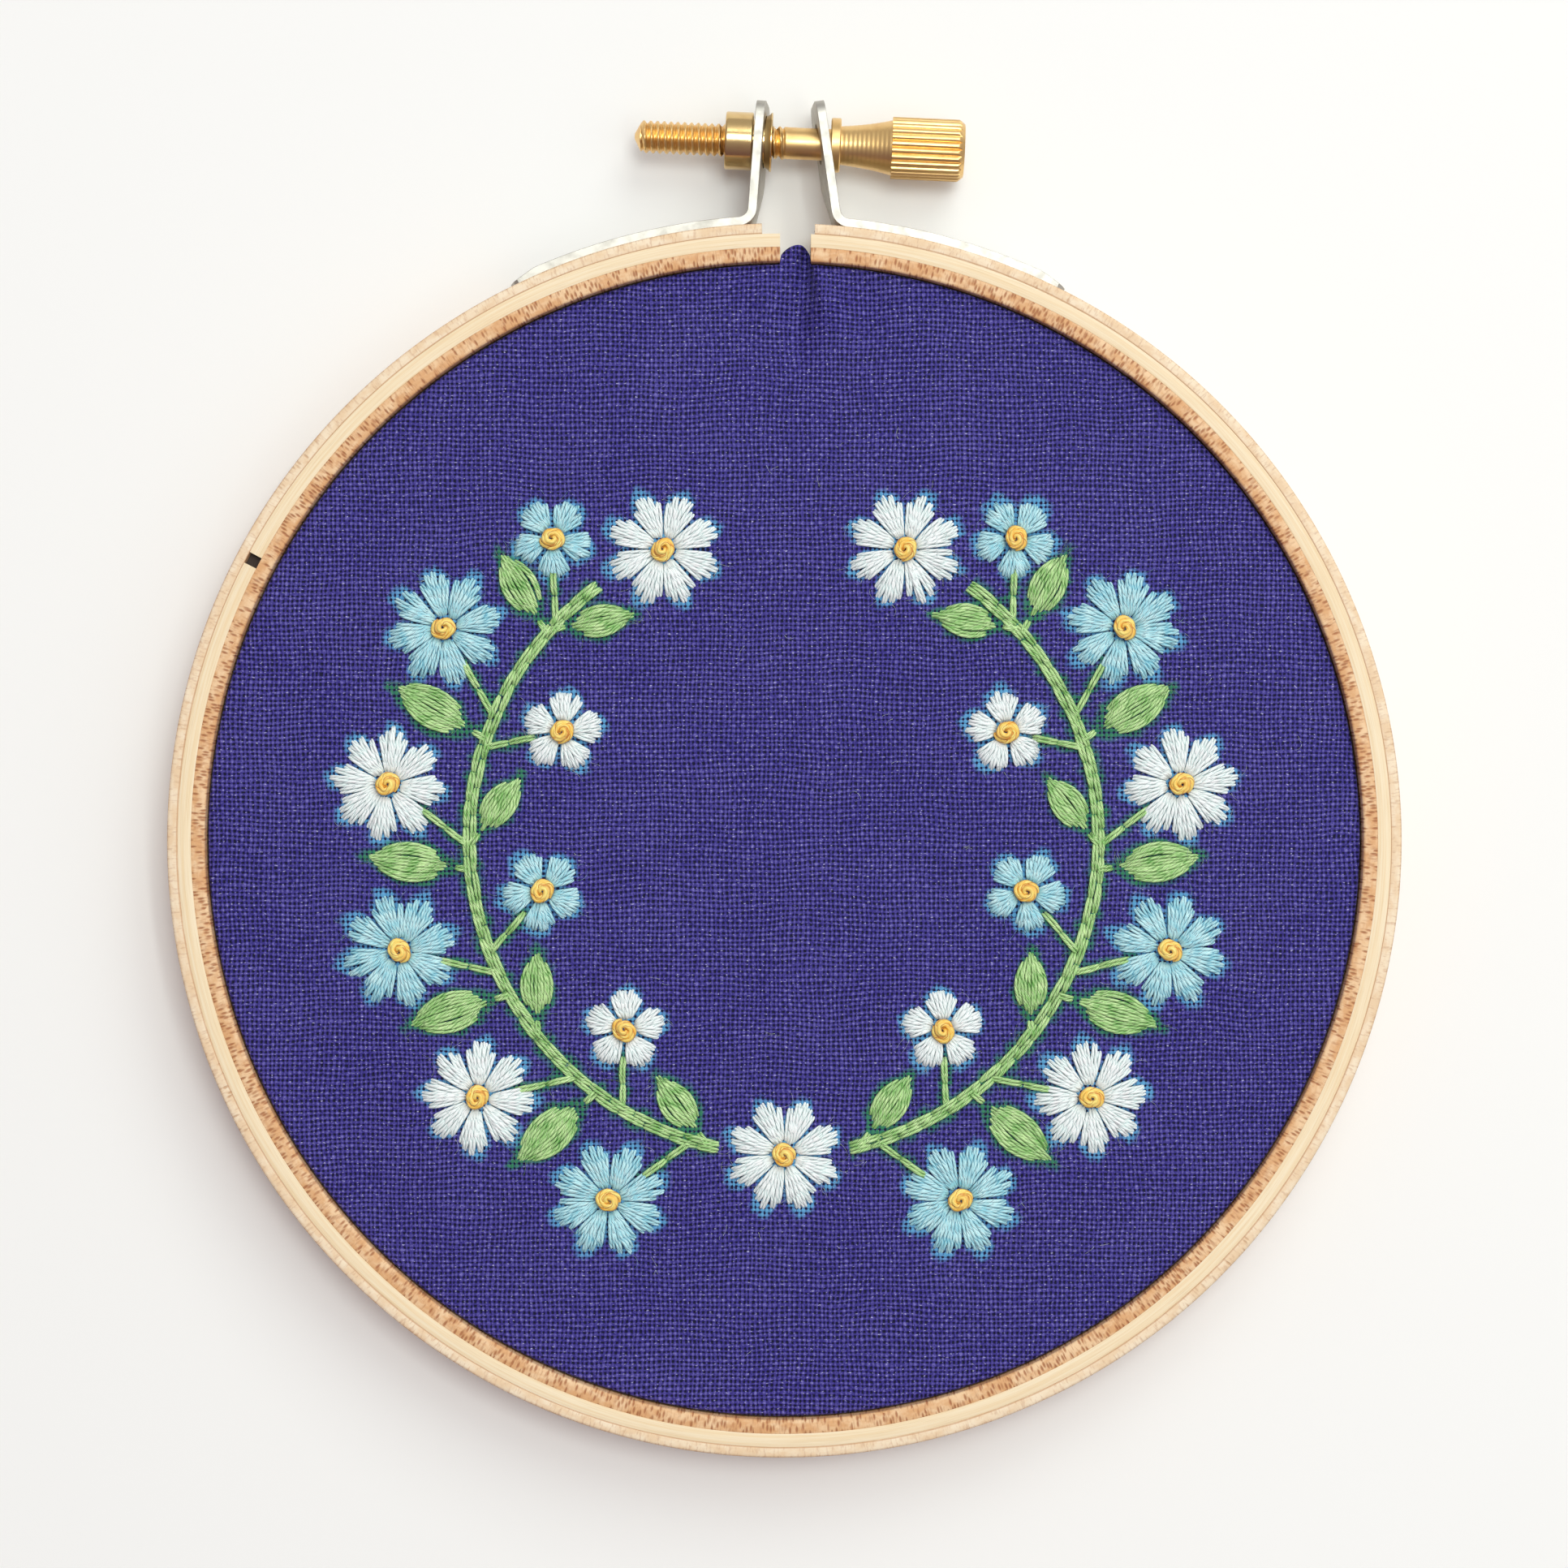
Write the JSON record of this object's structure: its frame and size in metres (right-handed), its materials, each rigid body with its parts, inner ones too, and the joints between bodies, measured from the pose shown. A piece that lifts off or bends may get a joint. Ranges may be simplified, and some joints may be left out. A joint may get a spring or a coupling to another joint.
{
  "type": "embroidered cloth in a wooden embroidery hoop",
  "caption": "Indigo cloth stretched in a round split wooden hoop with a brass tension screw, stitched with a wreath of small flowers and leaves.",
  "frame": {"origin": "on the surface the hoop lies on, under the middle of the whole piece's box", "axes": "+Z out of the stitched front, +Y from the hoop towards the screw, +X to the right of the stitched front"},
  "size_m": [0.1096, 0.1208, 0.0088],
  "materials": {
    "ring_wood": "three glued plies of pale beech, smooth, unvarnished",
    "cloth": "indigo plain-weave cotton",
    "steel": "dull zinc-coated strip",
    "brass": "bright turned brass",
    "floss_white": "stranded cotton, soft sheen",
    "floss_blue": "stranded cotton, soft sheen",
    "floss_green": "stranded cotton, soft sheen",
    "floss_yellow": "stranded cotton knots, soft sheen"
  },
  "bodies": {
    "root": {"outer_ring": "ring_wood", "inner_ring": "ring_wood", "ground_cloth": "cloth", "plate_left": "steel", "plate_right": "steel", "tension_screw": "brass", "screw_nut": "brass", "flower_foot_white": "floss_white", "stem_left": "floss_green", "stem_right": "floss_green", "flower_left_1_blue": "floss_blue", "flower_left_2_white": "floss_white", "flower_left_3_white": "floss_white", "flower_left_4_blue": "floss_blue", "flower_left_5_blue": "floss_blue", "flower_left_6_white": "floss_white", "flower_left_7_white": "floss_white", "flower_left_8_blue": "floss_blue", "flower_left_9_blue": "floss_blue", "flower_left_10_white": "floss_white", "leaf_left_1": "floss_green", "leaf_left_2": "floss_green", "leaf_left_3": "floss_green", "leaf_left_4": "floss_green", "leaf_left_5": "floss_green", "leaf_left_6": "floss_green", "leaf_left_7": "floss_green", "leaf_left_8": "floss_green", "leaf_left_9": "floss_green", "flower_right_1_blue": "floss_blue", "flower_right_2_white": "floss_white", "flower_right_3_white": "floss_white", "flower_right_4_blue": "floss_blue", "flower_right_5_blue": "floss_blue", "flower_right_6_white": "floss_white", "flower_right_7_white": "floss_white", "flower_right_8_blue": "floss_blue", "flower_right_9_blue": "floss_blue", "flower_right_10_white": "floss_white", "leaf_right_1": "floss_green", "leaf_right_2": "floss_green", "leaf_right_3": "floss_green", "leaf_right_4": "floss_green", "leaf_right_5": "floss_green", "leaf_right_6": "floss_green", "leaf_right_7": "floss_green", "leaf_right_8": "floss_green", "leaf_right_9": "floss_green"}
  },
  "joints": []
}
